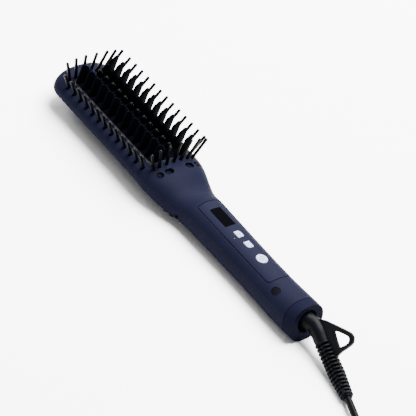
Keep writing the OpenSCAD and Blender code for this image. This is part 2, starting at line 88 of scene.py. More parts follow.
def plastic(
    name,
    rgb,
    rough=0.45,
    grain=0.35,
    bump=0.12,
    vary=0.12,
    blotch=9.0,
    specular=0.5,
    bevel=0.0,
    edge=0.0,
    coat=0.0,
    metal=0.0,
    rough_vary=0.08,
    streak=None,
    depth=0.00012,
):
    """Moulded surface: colour mottled at `blotch` mm, fine grain of `grain`
    mm in bump and roughness, edges softened by `bevel` mm and given a painted
    highlight by `edge`: a lighter colour mixed in along them."""
    rgb = [c * DARK for c in rgb]
    specular *= GLOSS
    m, n, k, b = nodes_of(name)
    at = n.new("ShaderNodeTexCoord")
    src = at.outputs["Object"]
    if streak:
        mp = n.new("ShaderNodeMapping")
        mp.inputs["Scale"].default_value = streak
        k.new(src, mp.inputs["Vector"])
        src = mp.outputs["Vector"]
    big = n.new("ShaderNodeTexNoise")
    big.inputs["Scale"].default_value = 1000 / blotch
    big.inputs["Detail"].default_value = 4
    k.new(src, big.inputs["Vector"])
    fine = n.new("ShaderNodeTexNoise")
    fine.inputs["Scale"].default_value = 1000 / grain
    fine.inputs["Detail"].default_value = 3
    fine.inputs["Roughness"].default_value = 0.65
    k.new(src, fine.inputs["Vector"])
    both = n.new("ShaderNodeMix")
    both.data_type = "FLOAT"
    both.inputs[0].default_value = 0.5
    k.new(big.outputs["Fac"], both.inputs[2])
    k.new(fine.outputs["Fac"], both.inputs[3])
    ramp = n.new("ShaderNodeValToRGB")
    lo = [max(0.0, c * (1 - vary)) for c in rgb]
    hi = [min(1.0, c * (1 + vary)) for c in rgb]
    ramp.color_ramp.elements[0].position = 0.3
    ramp.color_ramp.elements[0].color = (*lo, 1)
    ramp.color_ramp.elements[1].position = 0.7
    ramp.color_ramp.elements[1].color = (*hi, 1)
    k.new(both.outputs[0], ramp.inputs["Fac"])
    colour = ramp.outputs["Color"]
    rr_ = n.new("ShaderNodeMapRange")
    rr_.inputs["To Min"].default_value = max(0.02, rough - rough_vary)
    rr_.inputs["To Max"].default_value = min(1.0, rough + rough_vary)
    k.new(both.outputs[0], rr_.inputs["Value"])
    k.new(rr_.outputs["Result"], b.inputs["Roughness"])
    bp = n.new("ShaderNodeBump")
    bp.inputs["Strength"].default_value = bump
    bp.inputs["Distance"].default_value = depth
    k.new(fine.outputs["Fac"], bp.inputs["Height"])
    if bevel:
        bv = n.new("ShaderNodeBevel")
        bv.samples = 6
        bv.inputs["Radius"].default_value = bevel / 1000
        k.new(bv.outputs["Normal"], bp.inputs["Normal"])
        # painted highlight: where the bevelled normal turns away from the true one, a lighter colour (rgb x 2.2 + 0.01)
        # is mixed in, up to `edge`
        if edge:
            g = n.new("ShaderNodeNewGeometry")
            d = n.new("ShaderNodeVectorMath")
            d.operation = "DOT_PRODUCT"
            k.new(bv.outputs["Normal"], d.inputs[0])
            k.new(g.outputs["Normal"], d.inputs[1])
            e = n.new("ShaderNodeMapRange")
            e.inputs["From Min"].default_value = 0.995
            e.inputs["From Max"].default_value = 0.8
            e.inputs["To Max"].default_value = edge
            k.new(d.outputs["Value"], e.inputs["Value"])
            edge_highlight_mix = n.new("ShaderNodeMix")
            edge_highlight_mix.data_type = "RGBA"
            k.new(e.outputs["Result"], edge_highlight_mix.inputs[0])
            k.new(colour, edge_highlight_mix.inputs[6])
            edge_highlight_mix.inputs[7].default_value = (*[min(1, c * 2.2 + 0.01) for c in rgb], 1)
            colour = edge_highlight_mix.outputs[2]
    k.new(colour, b.inputs["Base Color"])
    k.new(bp.outputs["Normal"], b.inputs["Normal"])
    b.inputs["Specular IOR Level"].default_value = specular
    b.inputs["Metallic"].default_value = metal
    if coat:
        b.inputs["Coat Weight"].default_value = coat
        b.inputs["Coat Roughness"].default_value = 0.12
    return m


# In the tables below the tenth argument, edge, is a painted highlight on bevelled edges (casing, panel, cap, tank,
# trim, plate, rim, boot, plug)
DARK, GLOSS = 0.112, 0.018
NAVY = (0.0310, 0.0335, 0.0840)
M = {
    "casing": plastic("navy_casing", NAVY, 0.50, 0.45, 0.22, 0.14, 14, 0.45, 0.35, 0.35),
    "panel": plastic("navy_panel", (0.0325, 0.0345, 0.090), 0.46, 0.4, 0.16, 0.10, 12, 0.5, 0.25, 0.4),
    "cap": plastic("navy_cap", (0.0240, 0.0265, 0.068), 0.50, 0.45, 0.2, 0.12, 12, 0.2, 0.4, 0.35),
    "tank": plastic("tank_smoke", (0.0240, 0.0270, 0.070), 0.28, 0.5, 0.05, 0.12, 16, 1.6, 0.3, 0.25),
}
DARK, GLOSS = 0.07, 0.04
M |= {
    "display": plastic("display_glass", (0.0050, 0.0050, 0.010), 0.2, 0.6, 0.02, 0.3, 8, 0.02, rough_vary=0.04),
    "dark_trim": plastic("black_trim", (0.0095, 0.0115, 0.022), 0.42, 0.3, 0.15, 0.2, 6, 0.3, 0.2, 0.3),
    # the recess floors are coloured darker than the casing: painted shade
    "recess": plastic("recess_painted_shade", (0.030, 0.034, 0.070), 0.6, 0.4, 0.2, 0.2, 4, 0.1),
    # the plate's edges carry the strongest painted highlight (edge 0.8)
    "plate": plastic("ceramic_coating", (0.0110, 0.0130, 0.0240), 0.34, 0.28, 0.2, 0.25, 5, 0.05, 0.3, 0.8),
    "posts": plastic("post_plastic", (0.0080, 0.0090, 0.0150), 0.22, 0.3, 0.06, 0.2, 4, 0.3),
    "black": plastic("black_plastic", (0.012, 0.012, 0.014), 0.5, 0.4, 0.2, 0.2, 6, 0.5),
}
DARK, GLOSS = 0.07, 0.30
M |= {
    "rim": plastic("insert_rim", (0.050, 0.054, 0.080), 0.34, 0.3, 0.08, 0.2, 6, 0.7, 0.15, 0.3),
    "pins": plastic("pin_plastic", (0.0070, 0.0080, 0.0135), 0.30, 0.3, 0.06, 0.2, 4, 0.22),
}
DARK, GLOSS = 0.56, 0.4
M |= {
    "button": plastic("pearl_button", (0.30, 0.325, 0.50), 0.32, 0.35, 0.06, 0.05, 5, 0.5, 0.25, 0.0, coat=0.25),
    "mark": plastic("button_mark", (0.12, 0.135, 0.22), 0.45, 0.3, 0.1, 0.08, 3, 0.4),
}
DARK, GLOSS = 0.10, 0.05
M |= {
    "lens": plastic("indicator_lens", (0.05, 0.055, 0.10), 0.2, 0.3, 0.03, 0.1, 3, 0.5, coat=0.4),
    "boot": plastic("boot_rubber", (0.0130, 0.0142, 0.0215), 0.40, 0.4, 0.12, 0.2, 5, 0.6, 0.15, 0.2),
    "cord": plastic("cord_jacket", (0.0105, 0.0105, 0.0135), 0.38, 0.5, 0.12, 0.2, 7, 0.5),
    "plug": plastic("plug_body", (0.012, 0.012, 0.015), 0.42, 0.45, 0.2, 0.2, 7, 0.5, 0.3, 0.2),
}
DARK, GLOSS = 1.0, 1.0
M |= {
    "nickel": plastic("pin_nickel", (0.62, 0.60, 0.55), 0.24, 0.25, 0.08, 0.08, 3, 0.5, metal=1.0, streak=(1, 6, 1)),
    "steel": plastic("zinc_steel", (0.55, 0.55, 0.56), 0.32, 0.3, 0.1, 0.1, 5, 0.5, metal=1.0),
    "chamber": plastic("cast_aluminium", (0.60, 0.60, 0.61), 0.45, 0.4, 0.35, 0.12, 4, 0.5, metal=1.0),
    "ceramic": plastic("heater_ceramic", (0.62, 0.60, 0.54), 0.6, 0.3, 0.25, 0.1, 5, 0.4),
    "sensor": plastic("sensor_epoxy", (0.28, 0.13, 0.03), 0.3, 0.3, 0.1, 0.2, 3, 0.5),
    "seal": plastic("silicone_seal", (0.10, 0.10, 0.11), 0.55, 0.3, 0.15, 0.1, 4, 0.4),
    "pump": plastic("pump_nylon", (0.10, 0.10, 0.11), 0.5, 0.4, 0.2, 0.12, 5, 0.5),
    "hose": plastic("silicone_hose", (0.60, 0.59, 0.55), 0.4, 0.4, 0.08, 0.06, 8, 0.5),
    "board": plastic("board_lacquer", (0.012, 0.09, 0.035), 0.35, 0.5, 0.2, 0.2, 3, 0.5),
    "brass": plastic("contact_brass", (0.70, 0.48, 0.20), 0.26, 0.3, 0.08, 0.08, 4, 0.5, metal=1.0),
}


# ------------------------------------------------------------ mesh helpers
def obj_of(name, v, f):
    me = bpy.data.meshes.new(name)
    me.from_pydata([row(p) for p in v], [], [list(map(int, q)) for q in f])
    me.validate()
    return scene_link(bpy.data.objects.new(name, me))


def join_data(parts):
    v, f, n = [], [], 0
    for pv, pf in parts:
        v += [tuple(p) for p in pv]
        f += [[i + n for i in q] for q in pf]
        n += len(pv)
    return v, f


def freeze(o):
    dg = bpy.context.evaluated_depsgraph_get()
    dg.update()
    me = bpy.data.meshes.new_from_object(o.evaluated_get(dg))
    o.modifiers.clear()
    old = o.data
    o.data = me
    bpy.data.meshes.remove(old)
    return o


def boolean(o, tools, op="DIFFERENCE"):
    """Cuts each tool (vertices, faces) out of o, or joins it on."""
    temp = []
    for i, (v, f) in enumerate(tools):
        c = obj_of("tool", v, f)
        bm = bmesh.new()
        bm.from_mesh(c.data)
        bmesh.ops.recalc_face_normals(bm, faces=bm.faces)
        bm.to_mesh(c.data)
        bm.free()
        m = o.modifiers.new("b", "BOOLEAN")
        m.operation, m.object = op, c
        m.solver = "MANIFOLD"
        temp.append(c)
    freeze(o)
    for c in temp:
        bpy.data.objects.remove(c)
    return o


def fix_normals(o):
    bm = bmesh.new()
    bm.from_mesh(o.data)
    bmesh.ops.recalc_face_normals(bm, faces=bm.faces)
    bm.to_mesh(o.data)
    bm.free()
    return o


def shade(o, angle=32):
    me = o.data
    me.shade_smooth()
    me.set_sharp_from_angle(angle=math.radians(angle))
    return o


def finish_piece(o, mat, body, replaces=(), angle=32, smooth=True):
    o.data.materials.clear()
    o.data.materials.append(M[mat])
    if o.type == "MESH" and smooth:
        shade(o, angle)
    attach(o, body)
    if replaces:
        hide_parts(*replaces)
    return o


def rr(x0, x1, y0, y1, r, n=8):
    p = []
    for cx, cy, a in (
        (x1 - r, y0 + r, -90),
        (x1 - r, y1 - r, 0),
        (x0 + r, y1 - r, 90),
        (x0 + r, y0 + r, 180),
    ):
        for i in range(n + 1):
            t = math.radians(a + 90 * i / n)
            p.append((cx + r * math.cos(t), cy + r * math.sin(t)))
    return p


def prism(poly, z0, z1, to=None):
    n = len(poly)
    v = [(x, y, z0) for x, y in poly] + [(x, y, z1) for x, y in poly]
    f = [list(range(n))[::-1], list(range(n, 2 * n))]
    f += [[i, (i + 1) % n, n + (i + 1) % n, n + i] for i in range(n)]
    if to:
        v = [to(p) for p in v]
    return v, f


def box(x0, x1, y0, y1, z0, z1):
    return prism([(x0, y0), (x1, y0), (x1, y1), (x0, y1)], z0, z1)


def disc(x, y, r, n=40):
    return [
        (x + r * math.cos(2 * math.pi * i / n), y + r * math.sin(2 * math.pi * i / n))
        for i in range(n)
    ]


def rod_z(x, y, z0, z1, r, n=40):
    return prism(disc(x, y, r, n), z0, z1)


def basis(d):
    d = Vector(d).normalized()
    a = Vector((0, 0, 1)) if abs(d.z) < 0.95 else Vector((1, 0, 0))
    s = d.cross(a).normalized()
    return s, s.cross(d).normalized() * -1, d


def spin(profile, at, d, n=20, squash=None):
    """A closed solid of revolution: profile [(radius, height)...] along d."""
    s, u, w = basis(d)
    at = Vector(at)
    v, f = [], []
    m = len(profile)
    for r, h in profile:
        for i in range(n):
            t = 2 * math.pi * i / n
            k = r * (squash(t) if squash else 1)
            v.append(tuple(at + w * h + (s * math.cos(t) + u * math.sin(t)) * k))
    for j in range(m - 1):
        for i in range(n):
            f.append([j * n + i, j * n + (i + 1) % n, (j + 1) * n + (i + 1) % n, (j + 1) * n + i])
    f.append(list(range(n))[::-1])
    f.append([(m - 1) * n + i for i in range(n)])
    return v, f


def sweep(pts, radius, n=16):
    """A closed tube through points, radius a number or a list."""
    pts = [Vector(p) for p in pts]
    v, f = [], []
    side = None
    for i, p in enumerate(pts):
        d = (pts[min(i + 1, len(pts) - 1)] - pts[max(i - 1, 0)]).normalized()
        if side is None:
            side = basis(d)[0]
        side = (side - d * side.dot(d)).normalized()
        up = d.cross(side)
        r = radius[i] if isinstance(radius, (list, tuple)) else radius
        for j in range(n):
            t = 2 * math.pi * j / n
            v.append(tuple(p + (side * math.cos(t) + up * math.sin(t)) * r))
    for i in range(len(pts) - 1):
        for j in range(n):
            f.append([i * n + j, i * n + (j + 1) % n, (i + 1) * n + (j + 1) % n, (i + 1) * n + j])
    f.append(list(range(n))[::-1])
    f.append([(len(pts) - 1) * n + j for j in range(n)])
    return v, f


def spline(pts, per=8):
    """Catmull-Rom points through pts."""
    p = [np.array(q, float) for q in pts]
    p = [2 * p[0] - p[1]] + p + [2 * p[-1] - p[-2]]
    out = []
    for i in range(1, len(p) - 2):
        a, b, c, d = p[i - 1], p[i], p[i + 1], p[i + 2]
        for j in range(per):
            t = j / per
            out.append(0.5 * (2 * b + (c - a) * t + (2 * a - 5 * b + 4 * c - d) * t * t + (3 * b - 3 * c + d - a) * t ** 3))
    out.append(p[-2])
    return out


# --------------------------------------------------------- the cords first
root = Vector((305.5, -0.5, -12.7))
OUT, ONTO = Vector((0.94, -0.128, -0.317)), Vector((0.935, -0.355, 0))


def relief_dir(s):
    return (OUT + (ONTO - OUT) * min(1, s / 48)).normalized()


relief_pts = [root.copy()]
for i in range(1, 16):
    relief_pts.append(relief_pts[-1] + relief_dir(3.2 * i - 1.6) * 3.2)
cord_z = 2.75 - Z_REST
lead = [tuple(relief_pts[-1]), (362, -16.3, -21), (372, -20, -21.9), (384, -24.6, -23), (397, -29.3, cord_z), (409, -33.8, cord_z), (418, -37.2, cord_z), (426, -39.8, cord_z)]
COIL = (437, -2.8)
CELLS = [(0, 0), (1, 0), (2, 0), (2, 1), (2, 2), (1, 2), (1, 1), (0, 1), (0, 2)]
A0, STEP, WINDOW = -96.0, 330.0, 90.0


def ease(t):
    t = min(1.0, max(0.0, t))
    return t * t * (3 - 2 * t)


wind = []
a = A0
while a <= 2655.01:
    col, lay = float(CELLS[0][0]), float(CELLS[0][1])
    for j in range(1, 9):
        t = ease((a - (A0 + STEP * j - 12 - WINDOW / 2)) / WINDOW)
        col += (CELLS[j][0] - CELLS[j - 1][0]) * t
        lay += (CELLS[j][1] - CELLS[j - 1][1]) * t
    r = 38.5 - 5.56 * col
    wind.append((COIL[0] + r * math.cos(math.radians(a)), COIL[1] + r * math.sin(math.radians(a)), cord_z + 5.5 * lay))
    a += 9.0
# the last turn rises over the coil and enters the plug that lies on it
tail = []
for b in range(-40, 91, 10):
    c_, s_ = math.cos(math.radians(b)), math.sin(math.radians(b))
    z = -12.65 + 9.65 * ease((b + 40) / 150)
    if b <= 0:
        tail.append((COIL[0] - 38.5 * c_, COIL[1] - 38.5 * s_, z))
    else:
        tail.append((COIL[0] - 13.5 - 25 * c_, COIL[1] - 25 * s_, z))
tail += [(COIL[0] - 13.5 + 3, COIL[1] - 25, -3.1), (COIL[0] - 13.5 + 6, COIL[1] - 25, -2.98), (COIL[0] - 13.5 + 9, COIL[1] - 25, -2.95)]
route = [tuple(p) for p in spline(lead + [wind[0]], 3)][:-1] + wind + tail
cu = bpy.data.curves.new("cord", "CURVE")
cu.dimensions = "3D"
cu.bevel_depth = 2.75 / 1000
cu.bevel_resolution = 6
cu.resolution_u = 2
cu.use_fill_caps = True
sp = cu.splines.new("POLY")
sp.points.add(len(route) - 1)
for q, p in zip(sp.points, route):
    q.co = (*row(p), 1)
sp.use_smooth = True
cord = scene_link(bpy.data.objects.new("mains_cord", cu))

# plug: a two-pin body lofted from rounded sections, with grip ridges
PX, PY, PZ = 429, -27.8, -2.95


def plug_ring(y, hx, hz, r):
    return [(PX + y, PY + x, PZ + z) for x, z in rr(-hx, hx, -hz, hz, r, 6)]


rings = []
for y, hx, hz, r in (
    (0, 3.6, 3.6, 3.4), (0.3, 4.4, 4.4, 3.6), (1.2, 4.9, 4.9, 3.2), (8, 5.0, 5.0, 3.0), (11, 5.3, 5.0, 3.0),
    (13, 7.2, 5.6, 3.6), (15.2, 8.9, 6.2, 3.9), (17, 10.6, 6.6, 4.2), (18.6, 12.2, 6.8, 4.6), (20.4, 12.9, 6.88, 4.9),
    (22, 13, 6.9, 5), (23, 12.5, 6.5, 4.9), (24, 13, 6.9, 5), (25, 12.5, 6.5, 4.9), (26, 13, 6.9, 5), (27, 12.5, 6.5, 4.9),
    (28, 13, 6.9, 5), (29, 12.5, 6.5, 4.9), (30, 13, 6.9, 5), (36.6, 13, 6.9, 5), (37.4, 12.7, 6.6, 4.8), (37.7, 12.0, 5.9, 4.4),
):
    rings.append(plug_ring(y, hx, hz, r))
nr = len(rings[0])
pv = [p for ring in rings for p in ring]
pf = [[j * nr + i, j * nr + (i + 1) % nr, (j + 1) * nr + (i + 1) % nr, (j + 1) * nr + i] for j in range(len(rings) - 1) for i in range(nr)]
pf += [list(range(nr))[::-1], [(len(rings) - 1) * nr + i for i in range(nr)]]
plug = obj_of("plug_moulding", pv, pf)
finish_piece(fix_normals(plug), "plug", "swivel", ["plug"], 40)
parts = []
for s in (-1, 1):
    parts.append(spin([(1.9, 27.9), (2.0, 37.8), (2.0, 38), (2.0, 53.6), (1.85, 54.6), (1.4, 55.3), (0.8, 55.6)], (PX, PY + s * 9.5, PZ), (1, 0, 0), 24))
pins = obj_of("plug_contacts", *join_data(parts))
finish_piece(fix_normals(pins), "nickel", "swivel", ["plug_pins"], 40)
parts = []
for s in (-1, 1):
    parts.append(spin([(1.95, 37.4), (2.35, 37.5), (2.35, 38.1), (2.02, 38.4)], (PX, PY + s * 9.5, PZ), (1, 0, 0), 24))
collars = obj_of("plug_collars", *join_data(parts))
finish_piece(fix_normals(collars), "plug", "swivel", (), 40)
cord.data.materials.append(M["cord"])
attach(cord, "swivel")
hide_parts("power_cord", "cord_coil", "cord_tail")


# ------------------------------------------------------- the casing's form
def knots(t):
    t = np.array(t, float)
    x, y = t[:, 0], t[:, 1]
    h = np.diff(x)
    s = np.diff(y) / h
    m = np.zeros(len(x))
    for i in range(1, len(x) - 1):
        if s[i - 1] * s[i] > 0:
            w1, w2 = 2 * h[i] + h[i - 1], h[i] + 2 * h[i - 1]
            m[i] = (w1 + w2) / (w1 / s[i - 1] + w2 / s[i])
    m[0], m[-1] = s[0], s[-1]
    return x, y, m


def smooth_at(k, v):
    x, y, m = k
    v = min(max(v, x[0]), x[-1])
    i = min(max(int(np.searchsorted(x, v)) - 1, 0), len(x) - 2)
    h = x[i + 1] - x[i]
    t = (v - x[i]) / h
    return ((2 * t ** 3 - 3 * t * t + 1) * y[i] + (t ** 3 - 2 * t * t + t) * h * m[i] + (-2 * t ** 3 + 3 * t * t) * y[i + 1] + (t ** 3 - t * t) * h * m[i + 1])


HALF = knots([[0, 28.7], [118, 28.7], [124, 28.2], [130, 26.9], [136, 25.1], [142, 23.2], [148, 21.2], [154, 19.2], [158, 18.2], [163, 17.8], [176, 17.4], [194, 16.9], [212, 16.5], [230, 16.3], [248, 16.6], [262, 16.9], [272, 16.8], [278, 16.5], [285, 15.9], [294, 15.5]])
TOP = knots([[0, 1.6], [110, 1.7], [120, 2.2], [128, 2.4], [134, 1.7], [140, 0.1], [146, -1.6], [151, -2.2], [156, -1.7], [160, -0.8], [164, -0.1], [170, 0], [248, 0], [256, 0.3], [264, 0.9], [272, 1.7], [278, 2.4], [284, 3.1], [294, 3.4]])
BACK = knots([[0, -19.4], [104, -19.4], [112, -20], [122, -21.8], [132, -23.8], [142, -24.9], [152, -25.2], [240, -25.2], [262, -25.5], [280, -25.9], [294, -26.1]])
ZM, SPLIT, POWER, WALL = -8.9, -9.0, 2.3, 2.0


def nose(x, r, p, o):
    return 1.0 if x >= r else max(0.0, 1 - ((r - x) / (r + o)) ** p) ** (1 / p)


def wide(x, o=0.0):
    return (smooth_at(HALF, x) + o) * nose(x, 16.5, 2.4, o)


def high(x, o=0.0):
    return ZM + (smooth_at(TOP, x) + o - ZM) * nose(x, 8, 2.2, o)


def low(x, o=0.0):
    return ZM + (smooth_at(BACK, x) - o - ZM) * nose(x, 9, 2.2, o)


def spow(v):
    return math.copysign(abs(v) ** (2 / POWER), v)


def loft(xs, o=0.0, n=128):
    v = []
    for x in xs:
        a_, h, l = wide(x, o), high(x, o), low(x, o)
        for i in range(n):
            t = 2 * math.pi * i / n
            v.append((x, a_ * spow(math.cos(t)), (h + l) / 2 + (h - l) / 2 * spow(math.sin(t))))
    f = [[j * n + i, j * n + (i + 1) % n, (j + 1) * n + (i + 1) % n, (j + 1) * n + i] for j in range(len(xs) - 1) for i in range(n)]
    f += [list(range(n))[::-1], [(len(xs) - 1) * n + i for i in range(n)]]
    return v, f


def skin_z(x, y, o=0.0):
    """Height of the top surface over (x, y)."""
    h, l, a_ = high(x, o), low(x, o), wide(x, o)
    c = min(1.0, abs(y) / a_)
    return (h + l) / 2 + (h - l) / 2 * (1 - c ** POWER) ** (1 / POWER)


def ramp_x(pairs):
    out = []
    for x0, x1, n in pairs:
        out += [x0 + (x1 - x0) * i / n for i in range(n)]
    return out


XO = [0.03, 0.12, 0.28, 0.5, 0.8, 1.2, 1.7, 2.3, 3, 3.8, 4.7, 5.7, 6.8, 8, 9.3, 10.7, 12.2, 13.8, 15.4] + ramp_x([(17, 110, 20), (110, 170, 50), (170, 250, 16), (250, 296, 30)]) + [296]
XI = [2.04, 2.2, 2.5, 3, 3.7, 4.6, 5.8, 7.2, 8.8, 10.6, 12.6, 14.8] + ramp_x([(17, 110, 12), (110, 170, 30), (170, 250, 10), (250, 300, 14)]) + [300]


def slant(x0, k, z):
    return x0 + k * (z + 11.3)


def side_prism(poly, y0=-60, y1=60):
    """poly in (x, z), given depth along y."""
    n = len(poly)
    v = [(x, y0, z) for x, z in poly] + [(x, y1, z) for x, z in poly]
    f = [list(range(n)), list(range(n, 2 * n))[::-1]]
    f += [[i, n + i, n + (i + 1) % n, (i + 1) % n] for i in range(n)]
    return v, f


def after_seam(gap=0.0, z0=-40, z1=30):
    return side_prism([(slant(277 + gap, -0.25, z0), z0), (320, z0), (320, z1), (slant(277 + gap, -0.25, z1), z1)])


PITCH = 7.78
SIDE_X = [20.7 + PITCH * j for j in range(13)]
END_Y = [-18.8, -13.4, -6.7, 0, 6.7, 13.4, 18.8]
END_LEAN = [-25.5, -18.5, -12, 0, 12, 18.5, 25.5]
END_X = [15.2, 120.3]
LEAN = 32
SIDE_Y, SIDE_Z = 22.8, -3.0


def end_z(y):
    return 1.6 - 0.0074 * y * y


def lean_dir(s):
    return Vector((0, math.sin(math.radians(s)), math.cos(math.radians(s))))


def slot_hole(at, d, r, back, fwd, spread, along):
    """A slanted hole with an oblong mouth."""
    s, u, w = basis(d)
    at = Vector(at)
    along = Vector(along) - w * Vector(along).dot(w)
    along.normalize()
    cross = w.cross(along)
    poly = []
    for i in range(20):
        t = 2 * math.pi * i / 20
        c, q = math.cos(t), math.sin(t)
        poly.append(along * (r * c + (spread if c > 0 else 0)) + cross * r * q)
    v = [tuple(at - w * back + p) for p in poly] + [tuple(at + w * fwd + p) for p in poly]
    f = [list(range(20))[::-1], list(range(20, 40))]
    f += [[i, (i + 1) % 20, 20 + (i + 1) % 20, 20 + i] for i in range(20)]
    return v, f


def tilt_prism(poly, at, angle, z0, z1):
    """prism turned by angle degrees about x, then moved to at."""
    c, s = math.cos(math.radians(angle)), math.sin(math.radians(angle))
    return prism(poly, z0, z1, lambda p: (at[0] + p[0], at[1] + c * p[1] - s * p[2], at[2] + s * p[1] + c * p[2]))


def control_poly(o):
    """Outline of the control panel's opening: an arc at the head's end."""
    cx = 163 - o + 40
    hy = 10.7 + o
    x1 = 248.8 + o
    r = 3.0
    p = []
    a1 = math.asin(hy / 40)
    for i in range(25):
        t = math.pi + a1 - 2 * a1 * i / 24
        p.append((cx + 40 * math.cos(t), 40 * math.sin(t)))
    for i in range(9):
        t = math.radians(90 - 90 * i / 8)
        p.append((x1 - r + r * math.cos(t), hy - r + r * math.sin(t)))
    for i in range(9):
        t = math.radians(0 - 90 * i / 8)
        p.append((x1 - r + r * math.cos(t), -hy + r + r * math.sin(t)))
    return p[::-1]


# front shell
front = obj_of("front_shell", *loft(XO))
boolean(front, [loft(XI, -WALL, 64), box(-20, 320, -60, 60, -60, SPLIT), after_seam()])
tools = [prism(rr(18.45, 116.75, -19.05, 19.05, 3.65), -12, 20), prism(control_poly(0.3), -6, 5)]
for s in (-1, 1):
    for x in SIDE_X:
        tools.append(slot_hole((x, s * SIDE_Y, SIDE_Z), lean_dir(s * LEAN), 1.25, 6, 5, 1.3, (0, s, -0.4)))
    for dy in (-1.17, 1.17):
        tools.append(rod_z(127.6, s * 10 + dy, -0.6, 6, 2.7))
    tools.append(rod_z(127.3, s * 18.1, -4.2, 6, 2.75))
for x in END_X:
    for y, ang in zip(END_Y, END_LEAN):
        tools.append(slot_hole((x, y, end_z(y)), lean_dir(ang), 1.2, 6.5, 3, 0.35, (-1 if x < 60 else 1, 0, 0)))
tools.append(tilt_prism(disc(0, 0, 3.7), (257.2, -10.45, -2.1), 26.5, -1.3, 3))
boolean(front, tools)
finish_piece(front, "casing", "handle", ["front_casing"], 28)

# floors of the shoulder recesses, darker than the casing as painted shade
parts = []
for s in (-1, 1):
    parts.append(prism([(127.6 + 3.0 * math.cos(t), s * 10 + 4.2 * math.sin(t)) for t in [2 * math.pi * i / 40 for i in range(40)]], -1.4, -0.5))
cups = obj_of("shoulder_cups", *join_data(parts))
finish_piece(cups, "recess", "handle")

# rear shell, with the water tank's bay
W = 17.3
rear = obj_of("rear_shell", *loft(XO))
boolean(rear, [loft(XI, -WALL, 64), box(-20, 320, -60, 60, SPLIT, 60), after_seam(), box(19.7, 137.3, -W, W, -30, -13.8), box(139.5, 157, -19.3, 19.3, -30, -15.2)])
finish_piece(rear, "casing", "handle", ["rear_casing"], 28)
bay = [box(19.8, 137.2, -W - 1.6, W + 1.6, -13.8, -12.3), box(18.2, 20.0, -W, W, -18.4, -12.3), box(137.2, 138.8, -W, W, -20.4, -12.3), box(159.2, 161, -5, 5, -24.2, -17)]
for s in (-1, 1):
    bay.append(box(18.2, 138.8, min(s * W, s * (W + 1.6)), max(s * W, s * (W + 1.6)), -17, -12.3))
bay.append(spin([(1.2, 0), (2.5, 0), (2.5, 4.2), (1.2, 4.2), (1.2, 0.01)], (128, -9, -18), (0, 0, 1), 32))
bay_o = obj_of("tank_bay", *join_data(bay))
finish_piece(bay_o, "casing", "handle")

# the cap at the cord's end, with its funnel
XC = ramp_x([(268, 296, 26)]) + [296]
cap = obj_of("end_cap_moulding", *loft(XC))
hole = spin([(7.5, -20), (7.5, 12.6 - 12.6 + 0), (7.5, 0.01), (8.0, 1.6), (8.7, 3.6), (9.6, 5.4), (10.6, 7.0), (11.5, 12.0), (11.5, 20)], (280.6, 0, -9), (1, 0, 0), 48)
boolean(cap, [side_prism([(200, -60), (slant(277.65, -0.25, -60), -60), (slant(277.65, -0.25, 40), 40), (200, 40)]), side_prism([(slant(285.7, -0.2, -60), -60), (340, -60), (340, 40), (slant(285.7, -0.2, 40), 40)]), hole])
finish_piece(cap, "cap", "handle", ["end_cap"], 28)

# control panel, following the casing's crown
XP = ramp_x([(160, 252, 60)]) + [252]
panel = obj_of("control_face", *loft(XP))


def pad_poly(o, s):
    """A key's outline: three small corners and a wide one at (-x, +y),
    turned by half a turn for s = -1."""
    p = []
    for sx, sy, a0, r in ((1, -1, -90, 0.6), (1, 1, 0, 0.6), (-1, 1, 90, 2.5), (-1, -1, 180, 0.6)):
        for i in range(9):
            t = math.radians(a0 + 90 * i / 8)
            p.append((sx * (3.3 - r) + (r + o) * math.cos(t), sy * (2.85 - r) + (r + o) * math.sin(t)))
    return [(s * x, s * y) for x, y in p]


def at_xy(poly, x, y=0.0):
    return [(x + a_, y + b_) for a_, b_ in poly]


def keep(o, v, f):
    return boolean(o, [(v, f)], "INTERSECT")


keep(panel, *prism(control_poly(-0.3), -12, 8))
boolean(panel, [loft(ramp_x([(150, 260, 40)]) + [260], -WALL, 64), prism(rr(171.2, 190.6, -5.1, 5.1, 0.9), -8, 5), prism(at_xy(pad_poly(0.38, 1), 200.2, -0.15), -8, 5), prism(at_xy(pad_poly(0.38, -1), 211.9, -0.15), -8, 5), rod_z(227.56, 0, -8, 5, 4.9, 56), rod_z(202.6, -6.2, -8, 5, 0.75, 20)])
finish_piece(panel, "panel", "handle", ["control_panel"], 28)


def cushion(name, poly, cx, cy, z0, z1, soft, mat, body, rep=(), crown=0.25, steps=5):
    """A button: straight sides, an edge of radius soft and a low crown."""
    n = len(poly)
    layers = [(1.0, z0)]
    big = max(math.hypot(x, y) for x, y in poly)
    for i in range(steps + 1):
        t = math.pi / 2 * i / steps
        layers.append((1 - soft * (1 - math.cos(t)) / big, z1 - soft + soft * math.sin(t) - 0.0))
    for q in (0.8, 0.6, 0.4, 0.2, 0.02):
        layers.append(((1 - soft / big) * q, z1 + crown * (1 - q * q)))
    v = [(cx + x * s, cy + y * s, z) for s, z in layers for x, y in poly]
    m = len(layers)
    f = [[j * n + i, j * n + (i + 1) % n, (j + 1) * n + (i + 1) % n, (j + 1) * n + i] for j in range(m - 1) for i in range(n)]
    f += [list(range(n))[::-1], [(m - 1) * n + i for i in range(n)]]
    return finish_piece(obj_of(name, v, f), mat, body, rep, 40)


cushion("temperature_up_key", pad_poly(0, 1), 200.2, -0.15, -3.4, 0.35, 0.45, "button", "up_button", ["button_up"])
cushion("temperature_down_key", pad_poly(0, -1), 211.9, -0.15, -3.4, 0.35, 0.45, "button", "down_button", ["button_down"])
cushion("power_key", disc(0, 0, 4.6, 56), 227.56, 0, -3.4, 0.25, 0.5, "button", "on_button", ["power_button"])


def mark(name, parts, body):
    finish_piece(obj_of(name, *join_data(parts)), "mark", body, (), 40)


def bar(x0, x1, y0, y1, z0, z1):
    return prism(rr(x0, x1, y0, y1, min(x1 - x0, y1 - y0) * 0.45, 4), z0, z1)


